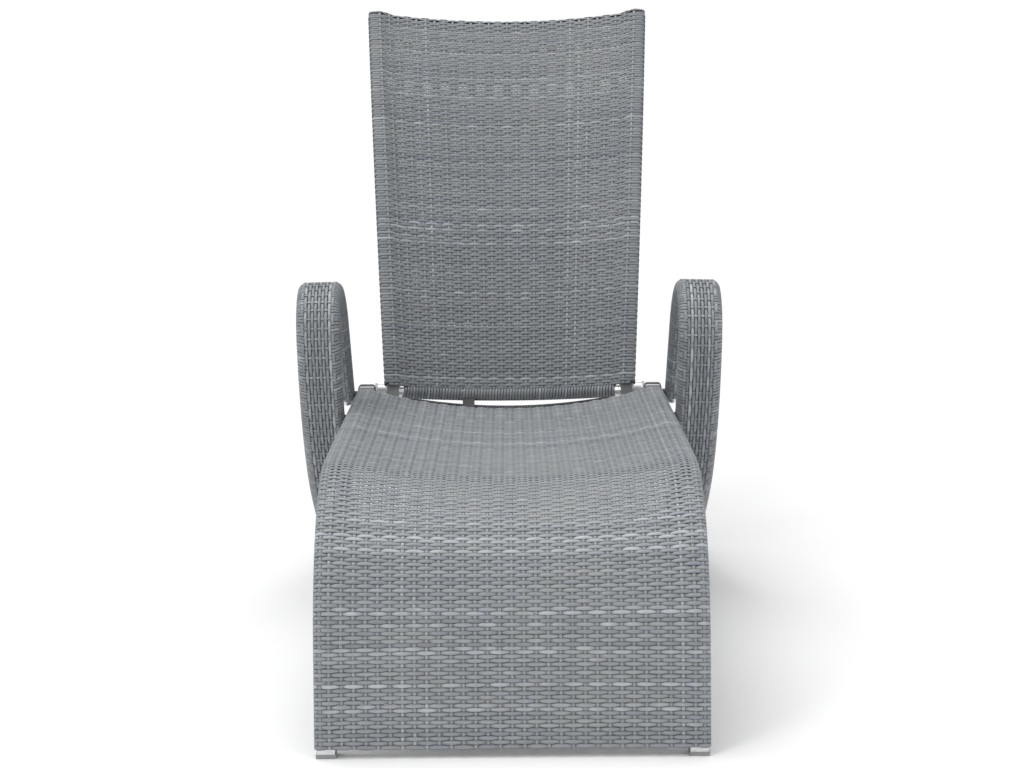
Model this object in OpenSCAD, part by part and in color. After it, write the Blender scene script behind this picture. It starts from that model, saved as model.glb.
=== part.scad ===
// Reclining garden lounger: rattan-wrapped aluminium frame, long seat with a built-in
// leg rest, tilting back held by a lockable gas strut. Millimetres, +Z up, foot end at -Y.

/* [Overall size] */
// Width of the seat over the wrapped side rails
seat_width = 560; // [480:5:660]
// Height of the knee, the highest line of the seat
knee_height = 372; // [320:2:440]
// Distance from the toe of the leg rest to the backrest pivot
pivot_reach = 1150; // [1000:5:1350]
// Length of the backrest from its pivot to its top edge
back_length = 832; // [700:2:950]

/* [Seat frame] */
// Lean of the leg rest back from upright, degrees
foot_lean = 7; // [4:1:14]
// Radius of the knee bend at the woven surface
knee_radius = 253; // [200:1:280]
// Fall of the seat towards the back, degrees
seat_fall = 2.6; // [1.5:0.1:4]
// Width of a side rail
rail_wide = 26; // [20:1:34]
// Depth of a side rail
rail_deep = 22; // [20:1:30]
// Wall thickness of the frame tubes
tube_wall = 1.5; // [1:0.1:2]
// Diameter of the cross tubes under the seat
cross_dia = 16; // [12:1:18]
// Sag of the woven seat at its back edge
seat_sag = 34; // [20:1:45]
// Diameter of the bowed tube behind the seat
hinge_tube_dia = 19; // [16:1:22]

/* [Rattan] */
// Thickness of the strand wrapping on the seat rails
wrap_thick = 3.5; // [2.5:0.1:5]
// Thickness of a woven panel
weave_thick = 3; // [2:0.1:4]

/* [Arms] */
// Width of an arm band
arm_wide = 74; // [60:1:90]
// Thickness of an arm band
arm_thick = 30; // [26:1:36]
// Height of the arm top over the floor
arm_height = 560; // [530:1:600]
// Radius of the top front corner of an arm
arm_corner = 93.5; // [80:0.5:110]
// Outward lean of the arms, degrees
arm_lean = 1.3; // [1:0.1:4.5]
// Diameter of the two tubes inside an arm
arm_tube_dia = 20; // [16:1:20]

/* [Backrest] */
// Lean of the backrest at its foot, degrees from upright
back_lean = 25; // [18:1:32]
// Further lean gained by the curve up to its top edge, degrees
back_curve = 19; // [10:1:24]
// Width over the backrest at its pivot
back_foot_width = 456; // [400:2:462]
// Width over the backrest at its top edge
back_top_width = 554; // [470:2:620]
// Hollow of the backrest across its width
back_hollow = 26; // [16:1:32]
// Side of the square backrest tubes
back_tube = 22; // [18:1:24]
// Diameter of the backrest cross tubes
back_cross_dia = 19; // [16:1:20]

/* [Strut and release] */
// Sideways place of the gas strut, left of the middle
strut_offset = 77; // [50:1:120]
// Length of the lever under the backrest pivot
lever_length = 68; // [64:1:70]
// Distance from the strut's front pivot to the backrest pivot
strut_reach = 338; // [320:1:350]
// Diameter of the strut cylinder
cylinder_dia = 20; // [18:1:22]
// Diameter of the strut rod
rod_dia = 10; // [8:0.5:12]
// Diameter of the pivot bolts and pins
pin_dia = 8; // [6:0.5:9]

/* [Hidden] */
$fn = 48;

// fits and small clearances
running = 0.05;
gap = 0.3;
washer_play = 0.15;
bolt_clear = 1.8;
bead = 0.06;
bead_long = 0.3;
bend_steps = 24;

// seat rail, followed along its woven surface from the toe
rail_x = seat_width / 2 - wrap_thick - rail_wide / 2;
rail_in = rail_x - rail_wide / 2;
wrap_in = rail_in - wrap_thick;
wrap_round = 5;
foot_turn = 90 - foot_lean;
knee_turn = foot_turn + seat_fall;
foot_run = (knee_height - knee_radius * (1 - cos(foot_turn))) / sin(foot_turn);
knee_run = knee_radius * knee_turn * PI / 180;
knee_end = [foot_run * cos(foot_turn) + knee_radius * (sin(foot_turn) + sin(seat_fall)),
    foot_run * sin(foot_turn) + knee_radius * (cos(seat_fall) - cos(foot_turn))];
rail_stop = pivot_reach - 18;
seat_run = (rail_stop - knee_end[0]) / cos(seat_fall);
weave_start = 14;
weave_depth = 7.5;
pivot_drop = 11;
pivot_height = round(knee_end[1] - seat_run * sin(seat_fall) - pivot_drop);

// places along the rail
foot_tube_at = 32;
knee_tube_at = foot_run + knee_run * 0.5;
bracket_y = pivot_reach - strut_reach - 20;
mid_tube_at = foot_run + knee_run + (bracket_y - knee_end[0]) / cos(seat_fall);
cross_depth = weave_depth + weave_thick / 2 + 0.5 + cross_dia / 2;

// pivot and its stack, from the rail inwards
tab_thick = 5;
tab_long = 38;
tab_in = rail_in - tab_thick;
lug_out = back_foot_width / 2;
lug_in = lug_out - back_tube;
washer_thick = 2;
boss_in = lug_out + washer_thick + 2 * washer_play;
boss_dia = 20;
bolt_head_dia = 14;
bolt_head_thick = 5;
arm_head_thick = 4;
bush_dia = pin_dia + 4;
hinge_tube_y = 26;
hinge_tube_z = -20;
hinge_bow = 28;
hinge_wrap = 2.5;

// arm loop, followed along its outer face from the rear foot
arm_foot = [pivot_reach + 65, 15];
arm_start_turn = 163;
arm_sweep = [850, 22];
arm_rise = [385, arm_start_turn - 22 - 90];
arm_top_radius = 174;
arm_top_turn = 61;
arm_front_z = arm_foot[1] + arm_sweep[0] * (cos(arm_start_turn - arm_sweep[1]) - cos(arm_start_turn))
    + arm_rise[0] * (-cos(arm_start_turn - arm_sweep[1]));
arm_front_y = arm_foot[0] + arm_sweep[0] * (sin(arm_start_turn) - sin(arm_start_turn - arm_sweep[1]))
    + arm_rise[0] * (sin(arm_start_turn - arm_sweep[1]) - 1);
arm_straight = arm_height - arm_corner - arm_front_z;
arm_back_drop = arm_height - arm_top_radius * (1 - cos(arm_top_turn)) - pivot_height + 7;
arm_back_run = arm_back_drop / sin(arm_top_turn);
sleeve_wall = 4;
arm_round = 11;
arm_tube_x = arm_wide / 2 - sleeve_wall - arm_tube_dia / 2;
arm_hang_z = 303;
arm_gap = 5;
arm_in = seat_width / 2 + arm_gap;
arm_taper = 46;
pad_height = 15;
arm_back_end = [arm_front_y + arm_corner + arm_top_radius * sin(arm_top_turn)
    + arm_back_run * cos(arm_top_turn) - arm_thick / 2 * sin(arm_top_turn),
    arm_height - arm_top_radius * (1 - cos(arm_top_turn)) - arm_back_drop
    - arm_thick / 2 * cos(arm_top_turn)];
arm_bolt_back = arm_back_end + 16 * [-cos(arm_top_turn), sin(arm_top_turn)];

// tube that the seat weave ends at, clear of the arm's rear bolt
rear_tube_y = arm_bolt_back[0] - cross_dia / 2 - pin_dia / 2 - bolt_clear;
rear_tube_at = foot_run + knee_run + (rear_tube_y - knee_end[0]) / cos(seat_fall);
rear_wrap = 2.5;
weave_stop = rear_tube_at - cross_dia / 2 - rear_wrap - gap;

// backrest
back_radius = back_length / back_curve * 180 / PI;
back_turn = 90 - back_lean;
back_wrap = 3;
back_splay = atan((back_top_width - back_foot_width - 2 * back_wrap) / 2 / back_length);
back_tube_x = lug_out - back_tube / 2;
lug_top = 34;
lug_low = 16;
back_bottom_at = -4;
back_wrap_start = 14;
back_weave_start = 9;
back_weave_stop = back_length - 4;
back_weave_depth = 5;
back_lower_at = back_length * 0.34;
back_upper_at = back_length * 0.68;
back_cross_depth = back_weave_depth - weave_thick / 2 - 0.5 - back_cross_dia / 2;

// strut, level when the back is upright
lever_x = -strut_offset;
lever_wide = 22;
cheek = 3;
strut_wide = lever_wide - 2 * cheek - 1;
pin_b_z = pivot_height - lever_length;
strut_drop = 15;
pin_a = [pivot_reach - strut_reach, pin_b_z + strut_drop];
open_fit = 2.2;
eye_radius = 12;
cylinder_back = pivot_reach - 16;
cylinder_long = 200;
cylinder_wall = 1.5;
gland_long = 14;
rod_front = pin_a[0] + 12;
rod_back = cylinder_back - cylinder_long + 58;
piston_long = 12;
valve_dia = 5;
valve_tip = pin_a[0] - 21.2;
release_y = pin_a[0] - 24;
release_z = pin_a[1];
finger_thick = 4;
shaft_dia = 8;
grip_long = 80;

// centre of the whole lounger front to back, which becomes Y = 0
back_top_at = back_length - back_cross_dia / 2 - back_wrap;
rear_y = back_point(back_top_at)[0] + back_cross_dia / 2
    + (back_hollow - back_cross_depth) * sin(back_turn - back_top_at / back_radius * 180 / PI);
mid_y = (rear_y + weave_start * cos(foot_turn)) / 2;

function rail_turn(s) = s < foot_run ? foot_turn
    : s < foot_run + knee_run ? foot_turn - (s - foot_run) / knee_radius * 180 / PI : -seat_fall;
function rail_point(s) = let (t = rail_turn(s))
    s < foot_run ? s * [cos(t), sin(t)]
    : s < foot_run + knee_run
        ? foot_run * [cos(foot_turn), sin(foot_turn)]
            + knee_radius * [sin(foot_turn) - sin(t), cos(t) - cos(foot_turn)]
        : knee_end + (s - foot_run - knee_run) * [cos(t), sin(t)];
function sag(s) = seat_sag * (1 - pow(1 - min(s / weave_stop, 1), 2));
function back_point(s) = let (t = back_turn - s / back_radius * 180 / PI)
    [pivot_reach, pivot_height] + back_radius * [sin(back_turn) - sin(t), cos(t) - cos(back_turn)];

// Sweeps the first drawn section along straights [length, 0] and bends [radius, degrees], all
// in one upright plane, starting along +Y and bending downwards. The second section is a fine
// bead that joins each stretch to the next.
module follow(run, i = 0) {
    if (i < len(run)) {
        size = run[i][0];
        bend = run[i][1];
        if (i > 0)
            translate([0, bead_long / 2, 0]) rotate([90, 0, 0]) linear_extrude(bead_long) children(1);
        if (bend == 0) {
            translate([0, size, 0]) rotate([90, 0, 0]) linear_extrude(size) children(0);
            translate([0, size, 0]) follow(run, i + 1) { children(0); children(1); }
        } else {
            translate([0, 0, -size]) mirror([1, 0, -1])
                rotate_extrude(angle = bend, $fn = round(bend_steps * 360 / bend))
                    translate([size, 0]) mirror([1, -1]) children(0);
            translate([0, size * sin(bend), -size * (1 - cos(bend))]) rotate([-bend, 0, 0])
                follow(run, i + 1) { children(0); children(1); }
        }
    }
}
module at_side(right) { mirror([right ? 0 : 1, 0, 0]) children(); }
module both_sides() { children(); mirror([1, 0, 0]) children(); }
module rod_x(x0, x1, y, z, d) {
    translate([x0, y, z]) rotate([0, 90, 0]) cylinder(d = d, h = x1 - x0);
}
module rod_y(y0, y1, x, z, d) {
    translate([x, y1, z]) rotate([90, 0, 0]) cylinder(d = d, h = y1 - y0);
}
module rounded(w, h, r) {
    square([w - 2 * r, h], center = true);
    square([w, h - 2 * r], center = true);
    for (x = [-1, 1], y = [-1, 1])
        translate([x * (w / 2 - r), y * (h / 2 - r)]) circle(r);
}
module box_tube(w, h, wall) {
    difference() {
        square([w, h], center = true);
        square([w - 2 * wall, h - 2 * wall], center = true);
    }
}
module on_rail(s) {
    p = rail_point(s);
    translate([0, p[0], p[1]]) rotate([rail_turn(s), 0, 0]) children();
}
module on_back(s) {
    p = back_point(s);
    translate([0, p[0], p[1]]) rotate([back_turn - s / back_radius * 180 / PI, 0, 0]) children();
}
// A round tube bowed downwards by bow between two faces at x = -half and half.
module bowed(half, bow, d, wall) {
    r = (half * half + bow * bow) / 2 / bow;
    reach = asin(half / r) + 3;
    intersection() {
        translate([0, 0, r - bow]) rotate([90, 0, 0]) rotate(-90 - reach)
            rotate_extrude(angle = 2 * reach, $fn = round(2 * bend_steps * 180 / reach))
                translate([r, 0]) difference() {
                    circle(d = d);
                    if (wall > 0) circle(d = d - 2 * wall);
                }
        cube([2 * half, 3 * d, 4 * (bow + d)], center = true);
    }
}

// ---- seat frame ----

rail_path = [[foot_run, 0], [knee_radius, knee_turn], [seat_run, 0]];
rail_mid = [rail_x, -wrap_thick - rail_deep / 2];
module rail_section(grow) {
    translate(rail_mid) box_tube(rail_wide + 2 * grow, rail_deep + 2 * grow, tube_wall + 2 * grow);
}
module rail_wrap_section(grow) {
    translate(rail_mid) difference() {
        rounded(rail_wide + 2 * wrap_thick + 2 * grow, rail_deep + 2 * wrap_thick + 2 * grow, wrap_round);
        square([rail_wide - 2 * grow, rail_deep - 2 * grow], center = true);
    }
}
module rail_core() { translate(rail_mid) square([rail_wide, rail_deep], center = true); }
module along_rail() {
    rotate([foot_turn, 0, 0]) follow(rail_path) { children(0); children(1); }
}
module below(z) { translate([-1000, -500, z - 200]) cube([2000, 3000, 200]); }
module rail_body() {
    difference() {
        along_rail() { rail_section(0); rail_section(bead); }
        below(cap_high);
        arm_bolt_shanks(2 * gap);
    }
}
cap_high = 6;
module left_rail() { color("silver") at_side(false) rail_body(); }
module right_rail() { color("silver") at_side(true) rail_body(); }

module rail_wrap_body() {
    difference() {
        along_rail() { rail_wrap_section(0); rail_wrap_section(bead); }
        below(weave_start);
        foot_tube_solid(cross_dia);
        for (s = [knee_tube_at, mid_tube_at])
            on_rail(s) translate([0, 0, -cross_depth])
                bowed(rail_in, sag(s) + weave_thick, cross_dia, 0);
        on_rail(rear_tube_at) translate([0, 0, -cross_depth])
            bowed(rail_in, sag(rear_tube_at) + weave_thick, cross_dia, 0);
        tab_plate(gap);
        arm_bolt_shanks(2 * gap);
        clip_plate(gap);
    }
}
module left_rail_wrap() { color("dimgray") at_side(false) rail_wrap_body(); }
module right_rail_wrap() { color("dimgray") at_side(true) rail_wrap_body(); }

plug_long = 18;
plug_lip = 3;
module rail_end_plugs() {
    color("dimgray") both_sides() on_rail(foot_run + knee_run + seat_run)
        translate([rail_x, 0, -wrap_thick - rail_deep / 2]) {
            translate([0, plug_lip / 2, 0])
                cube([rail_wide, plug_lip, rail_deep], center = true);
            translate([0, -plug_long / 2, 0])
                cube([rail_wide - 2 * tube_wall, plug_long, rail_deep - 2 * tube_wall], center = true);
        }
}

module cross_tube(s) {
    on_rail(s) translate([0, 0, -cross_depth])
        bowed(rail_in, sag(s) + weave_thick, cross_dia, tube_wall);
}
module foot_tube_solid(d) {
    on_rail(foot_tube_at) rod_x(-rail_in, rail_in, 0, -cross_depth - sag(foot_tube_at) - gap, d);
}
module foot_cross_tube() {
    color("silver") difference() {
        foot_tube_solid(cross_dia);
        foot_tube_solid(cross_dia - 2 * tube_wall);
    }
}
module knee_cross_tube() { color("silver") cross_tube(knee_tube_at); }
module mid_cross_tube() { color("silver") cross_tube(mid_tube_at); }
module seat_rear_tube() { color("silver") cross_tube(rear_tube_at); }
// strands wound round the rear tube where the seat weave ends
module rear_tube_wrap() {
    color("dimgray") difference() {
        on_rail(rear_tube_at) translate([0, 0, -cross_depth]) intersection() {
            bowed(rail_in, sag(rear_tube_at) + weave_thick, cross_dia + 2 * rear_wrap, rear_wrap);
            cube([2 * (wrap_in - arm_head_thick - gap), 3 * cross_dia, 4 * seat_sag + 4 * cross_dia],
                center = true);
        }
        tab_plate(gap);
    }
}

seat_rows = 34;
seat_cols = 12;
// A sheet of the given thickness: u runs along the rail, v across; its middle sags.
function seat_sheet_point(i, j, side) =
    let (s = weave_start + (weave_stop - weave_start) * i / seat_rows,
        v = 2 * j / seat_cols - 1, t = rail_turn(s), p = rail_point(s),
        d = -weave_depth - sag(s) * (1 - v * v) + side)
    [wrap_in * v, p[0] - d * sin(t), p[1] + d * cos(t)];
function sheet_faces(rows, cols) =
    let (n = (rows + 1) * (cols + 1), at = function (i, j) i * (cols + 1) + j)
    concat(
        [for (i = [0:rows - 1], j = [0:cols - 1], k = [0, 1])
            k == 0 ? [at(i, j), at(i + 1, j), at(i + 1, j + 1)]
                : [at(i, j), at(i + 1, j + 1), at(i, j + 1)]],
        [for (i = [0:rows - 1], j = [0:cols - 1], k = [0, 1])
            k == 0 ? [n + at(i, j), n + at(i + 1, j + 1), n + at(i + 1, j)]
                : [n + at(i, j), n + at(i, j + 1), n + at(i + 1, j + 1)]],
        [for (i = [0:rows - 1]) [at(i, 0), n + at(i, 0), n + at(i + 1, 0), at(i + 1, 0)]],
        [for (i = [0:rows - 1]) [at(i, cols), at(i + 1, cols), n + at(i + 1, cols), n + at(i, cols)]],
        [for (j = [0:cols - 1]) [at(0, j), at(0, j + 1), n + at(0, j + 1), n + at(0, j)]],
        [for (j = [0:cols - 1]) [at(rows, j), n + at(rows, j), n + at(rows, j + 1), at(rows, j + 1)]]);
module seat_weave() {
    color("gray") polyhedron([for (side = [weave_thick / 2, -weave_thick / 2], i = [0:seat_rows],
        j = [0:seat_cols]) seat_sheet_point(i, j, side)], sheet_faces(seat_rows, seat_cols));
}

cap_plug = 28;
toe_step = wrap_thick;
cap_wide = rail_wide + 2;
cap_deep = rail_deep / cos(foot_lean) + 2;
module front_foot_caps() {
    color("gray") both_sides() {
        translate([rail_x - cap_wide / 2, toe_step, 0])
            cube([cap_wide, cap_deep, cap_high]);
        difference() {
            rotate([foot_turn, 0, 0]) translate([0, cap_plug, 0]) rotate([90, 0, 0])
                linear_extrude(cap_plug) translate(rail_mid)
                    square([rail_wide - 2 * tube_wall, rail_deep - 2 * tube_wall], center = true);
            below(cap_high);
        }
    }
}

// ---- backrest hinge on the frame ----

// Side outline of a hinge tab: welded to the rail, holding the pivot and the bowed tube.
module tab_outline(grow) {
    r = 13 + grow;
    translate([pivot_reach, pivot_height]) circle(r);
    translate([pivot_reach + hinge_tube_y, pivot_height + hinge_tube_z]) circle(r);
    polygon([[pivot_reach - tab_long - grow, pivot_height - 16 - grow],
        [pivot_reach + hinge_tube_y - 2, pivot_height + hinge_tube_z - r + 0.1],
        [pivot_reach + hinge_tube_y + r - 2, pivot_height + hinge_tube_z + 5],
        [pivot_reach + r - 3, pivot_height + 8], [pivot_reach, pivot_height + r],
        [pivot_reach - tab_long - grow, pivot_height + 6 + grow]]);
}
module tab_plate(grow) {
    translate([tab_in - grow, 0, 0]) rotate([90, 0, 90]) linear_extrude(tab_thick + grow)
        tab_outline(grow);
}
module hinge_tabs() {
    color("silver") both_sides() difference() {
        tab_plate(0);
        rod_x(tab_in - 1, rail_in + 1, pivot_reach, pivot_height, bush_dia);
    }
}
module hinge_bosses() {
    color("silver") both_sides() difference() {
        rod_x(boss_in, tab_in, pivot_reach, pivot_height, boss_dia);
        rod_x(boss_in - 1, tab_in + 1, pivot_reach, pivot_height, bush_dia);
    }
}
module on_hinge_tube() {
    translate([0, pivot_reach + hinge_tube_y, pivot_height + hinge_tube_z]) children();
}
module hinge_tube() {
    color("silver") on_hinge_tube() bowed(tab_in, hinge_bow, hinge_tube_dia, tube_wall);
}
module hinge_tube_wrap() {
    color("dimgray") on_hinge_tube() intersection() {
        bowed(tab_in, hinge_bow, hinge_tube_dia + 2 * hinge_wrap, hinge_wrap);
        cube([2 * (lug_in - 6), 4 * hinge_tube_dia, 4 * hinge_tube_dia + 4 * hinge_bow], center = true);
    }
}
// nylon bushes pressed through the bosses and tabs
module pivot_bushes() {
    color("white") both_sides() difference() {
        rod_x(boss_in, rail_in, pivot_reach, pivot_height, bush_dia);
        rod_x(boss_in - 1, rail_in + 1, pivot_reach, pivot_height, pin_dia + 2 * running);
    }
}
module pivot_washers() {
    color("white") both_sides() difference() {
        rod_x(lug_out + washer_play, lug_out + washer_play + washer_thick, pivot_reach, pivot_height,
            boss_dia);
        rod_x(lug_out, boss_in, pivot_reach, pivot_height, pin_dia + 2 * running);
    }
}

// ---- arms and legs ----

// The arm's upright plane, leaning out from where it meets the rail.
module arm_plane() {
    translate([arm_in, 0, arm_hang_z]) rotate([0, arm_lean, 0]) translate([0, 0, -arm_hang_z])
        children();
}
module arm_follow(back_run) {
    arm_plane() translate([arm_wide / 2, arm_foot[0], arm_foot[1]]) rotate([arm_start_turn, 0, 0])
        follow([arm_sweep, arm_rise, [arm_straight, 0], [arm_corner, 90],
            [arm_top_radius, arm_top_turn], [back_run, 0]]) { children(0); children(1); }
}
module arm_tube_section(x, grow) {
    translate([x, -arm_thick / 2]) difference() {
        circle(d = arm_tube_dia + 2 * grow);
        circle(d = arm_tube_dia - 2 * tube_wall - 2 * grow);
    }
}
module arm_band(grow) {
    translate([0, -arm_thick / 2]) rounded(arm_wide + 2 * grow, arm_thick + 2 * grow, arm_round);
}
module arm_sleeve_section(grow) {
    difference() {
        arm_band(grow);
        translate([0, -arm_thick / 2])
            square([arm_wide - 2 * sleeve_wall - 2 * grow, arm_tube_dia - 2 * grow], center = true);
    }
}
module arm_envelope() { arm_follow(arm_back_run) { arm_band(0); arm_band(0); } }
// Place on the arm's middle line at a height: on its front limb, then on its back limb.
arm_bolt_front_z = rail_point(mid_tube_at)[1] - wrap_thick - rail_deep / 2 - 5;
arm_rise_center = [arm_front_y + arm_rise[0], arm_front_z];
arm_bolt_front = [arm_rise_center[0]
    - sqrt(pow(arm_rise[0] - arm_thick / 2, 2) - pow(arm_rise_center[1] - arm_bolt_front_z, 2)),
    arm_bolt_front_z];
spacer_dia = 16;
module arm_bolt_shanks(grow) {
    for (p = [arm_bolt_front, arm_bolt_back])
        rod_x(wrap_in, arm_in + arm_wide / 2 - arm_tube_x, p[0], p[1], pin_dia + grow);
}
module arm_tubes_body() {
    difference() {
        union() {
            arm_follow(arm_back_run) {
                arm_tube_section(-arm_tube_x, 0);
                arm_tube_section(-arm_tube_x, bead);
            }
            arm_follow(arm_back_run - arm_taper) {
                arm_tube_section(arm_tube_x, 0);
                arm_tube_section(arm_tube_x, bead);
            }
        }
        arm_bolt_shanks(0);
    }
}
module left_arm_tubes() { color("silver") at_side(false) arm_tubes_body(); }
module right_arm_tubes() { color("silver") at_side(true) arm_tubes_body(); }

rib_dia = 10;
rib_turns = [4, 20, 36, 50];
foot_rib_turn = arm_start_turn - 90 - 5;
arm_sweep_center = arm_foot + arm_sweep[0] * [cos(arm_start_turn - 90), sin(arm_start_turn - 90)];
// short cross ribs between the two tubes of an arm
module arm_ribs_body() {
    arm_plane() translate([arm_wide / 2, 0, 0]) {
        for (a = rib_turns)
            translate([0, arm_rise_center[0] - (arm_rise[0] - arm_thick / 2) * cos(a),
                arm_rise_center[1] - (arm_rise[0] - arm_thick / 2) * sin(a)])
                rotate([90 + a, 0, 0]) rib();
        translate([0, arm_front_y + arm_corner, arm_height - arm_thick / 2]) rib();
        translate([0, arm_sweep_center[0] - (arm_sweep[0] - arm_thick / 2) * cos(foot_rib_turn),
            arm_sweep_center[1] - (arm_sweep[0] - arm_thick / 2) * sin(foot_rib_turn)])
            rotate([90 + foot_rib_turn, 0, 0]) rib();
    }
}
module rib() {
    difference() {
        rod_x(-arm_tube_x, arm_tube_x, 0, 0, rib_dia);
        for (x = [-arm_tube_x, arm_tube_x]) translate([x, 0, 0]) rotate([90, 0, 0])
            cylinder(d = arm_tube_dia, h = 3 * rib_dia, center = true);
    }
}
module left_arm_ribs() { color("silver") at_side(false) arm_ribs_body(); }
module right_arm_ribs() { color("silver") at_side(true) arm_ribs_body(); }

module arm_sleeve_body() {
    difference() {
        arm_follow(arm_back_run) { arm_sleeve_section(0); arm_sleeve_section(bead); }
        arm_bolt_shanks(2 * gap);
        arm_plane() translate([arm_wide / 2, arm_back_end[0], arm_back_end[1]])
            rotate([-arm_top_turn, 0, 0]) translate([0, 0, -arm_thick]) linear_extrude(2 * arm_thick)
                polygon([[-arm_wide / 2, 0], [arm_wide / 2, -arm_taper], [arm_wide, -arm_taper],
                    [arm_wide, arm_thick], [-arm_wide / 2, arm_thick]]);
    }
}
module left_arm_weave() { color("gray") at_side(false) arm_sleeve_body(); }
module right_arm_weave() { color("gray") at_side(true) arm_sleeve_body(); }

module arm_bolts() {
    color("silver") both_sides() {
        arm_bolt_shanks(0);
        for (p = [arm_bolt_front, arm_bolt_back])
            rod_x(wrap_in - arm_head_thick, wrap_in, p[0], p[1], bolt_head_dia);
    }
}
module arm_spacers() {
    color("black") both_sides() difference() {
        for (p = [arm_bolt_front, arm_bolt_back])
            rod_x(seat_width / 2, arm_in + 8, p[0], p[1], spacer_dia);
        arm_bolt_shanks(0);
        arm_envelope();
    }
}

pad_dia = 26;
pad_y = arm_foot[0] - 26;
module rear_foot_pads() {
    color("dimgray") both_sides() difference() {
        for (x = [-arm_tube_x, arm_tube_x])
            translate([arm_in + arm_wide / 2 + x - (arm_hang_z - pad_height) * tan(arm_lean), pad_y, 0])
                cylinder(d = pad_dia, h = 3 * pad_height);
        both_sides() {
            arm_envelope();
            arm_plane() translate([-arm_wide, arm_foot[0], arm_foot[1]])
                rotate([arm_start_turn, 0, 0]) translate([0, -50, -100 - arm_round])
                    cube([4 * arm_wide, 200, 100]);
        }
    }
}
stretcher_z = arm_foot[1] + arm_thick / 2 + 16;
stretcher_y = arm_foot[0] - 48;
module leg_stretcher() {
    color("silver") difference() {
        rod_x(-arm_in, arm_in, stretcher_y, stretcher_z, arm_tube_dia);
        rod_x(-arm_in - 1, arm_in + 1, stretcher_y, stretcher_z, arm_tube_dia - 2 * tube_wall);
        both_sides() {
            arm_envelope();
            arm_plane() translate([arm_wide / 2, 0, 0]) cube([200, 3000, 400]);
        }
    }
}

// ---- strut mounting on the frame ----

module strut_bracket() {
    tube_z = rail_point(mid_tube_at)[1] - cross_depth
        - (sag(mid_tube_at) + weave_thick) * (1 - pow(strut_offset / rail_in, 2));
    color("black") difference() {
        translate([lever_x - lever_wide / 2, 0, 0]) rotate([90, 0, 90]) linear_extrude(lever_wide)
            union() {
                translate(pin_a) circle(11);
                translate([release_y, release_z]) circle(9);
                polygon([[release_y - 9, release_z], [release_y, release_z - 9],
                    [pin_a[0], pin_a[1] - 11], [pin_a[0] + 11, pin_a[1]],
                    [bracket_y + 11, tube_z + 2], [bracket_y - 11, tube_z + 2]]);
            }
        translate([lever_x - lever_wide / 2 + cheek, pin_a[0] - 100, pin_a[1] - 40])
            cube([lever_wide - 2 * cheek, 200, tube_z - cross_dia / 2 - 3 - pin_a[1] + 40]);
        on_rail(mid_tube_at) translate([0, 0, -cross_depth])
            bowed(rail_in, sag(mid_tube_at) + weave_thick, cross_dia, 0);
        rod_x(lever_x - lever_wide, lever_x + lever_wide, pin_a[0], pin_a[1], pin_dia);
        rod_x(lever_x - lever_wide, lever_x + lever_wide, release_y, release_z,
            shaft_dia + 2 * running);
    }
}
pin_head = 2.5;
module strut_pin() {
    half = lever_wide / 2;
    color("silver") {
        rod_x(lever_x - half, lever_x + half, pin_a[0], pin_a[1], pin_dia);
        for (x = [-half - pin_head, half])
            rod_x(lever_x + x, lever_x + x + pin_head, pin_a[0], pin_a[1], pin_dia + 4);
    }
}
clip_x = rail_x - 4;
clip_thick = 5;
module clip_plate(grow) {
    translate([clip_x - clip_thick / 2 - grow, 0, 0]) rotate([90, 0, 90])
        linear_extrude(clip_thick + 2 * grow) {
            translate([release_y, release_z]) circle(9 + grow);
            translate([release_y - 9 - grow, release_z])
                square([18 + 2 * grow, rail_point(mid_tube_at)[1] - release_z - rail_deep / 2]);
        }
}
module release_clip() {
    color("black") at_side(false) difference() {
        clip_plate(0);
        rod_x(0, seat_width, release_y, release_z, shaft_dia + 2 * running);
        along_rail() { rail_core(); rail_core(); }
        on_rail(mid_tube_at) translate([0, -50, -wrap_thick - rail_deep / 2])
            cube([seat_width, 100, 100]);
    }
}

// ---- backrest ----

module along_back() {
    translate([back_tube_x, pivot_reach, pivot_height]) rotate([back_turn, 0, 0])
        rotate([0, 0, -back_splay]) follow([[back_radius, back_curve]]) children(0);
}
module below_run(s) {
    translate([0, pivot_reach, pivot_height]) rotate([back_turn, 0, 0])
        translate([-500, -500, -100]) cube([1000, 500 + s, 200]);
}
module lug_blocks(grow) {
    both_sides() translate([lug_in - grow, pivot_reach, pivot_height]) rotate([back_turn, 0, 0])
        translate([0, -lug_low, -back_tube / 2 - grow])
            cube([back_tube + 2 * grow, lug_top + lug_low, back_tube + 2 * grow]);
}
module back_tube_body() {
    difference() {
        along_back() box_tube(back_tube, back_tube, tube_wall);
        below_run(lug_top);
    }
}
module left_back_tube() { color("silver") at_side(false) back_tube_body(); }
module right_back_tube() { color("silver") at_side(true) back_tube_body(); }

module back_wrap_body() {
    difference() {
        along_back() difference() {
            rounded(back_tube + 2 * back_wrap, back_tube + 2 * back_wrap, wrap_round);
            square(back_tube, center = true);
        }
        below_run(back_wrap_start);
        lug_blocks(0);
        for (s = [back_lower_at, back_upper_at, back_top_at])
            back_cross_solid(s, 0);
    }
}
module left_back_wrap() { color("dimgray") at_side(false) back_wrap_body(); }
module right_back_wrap() { color("dimgray") at_side(true) back_wrap_body(); }

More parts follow.
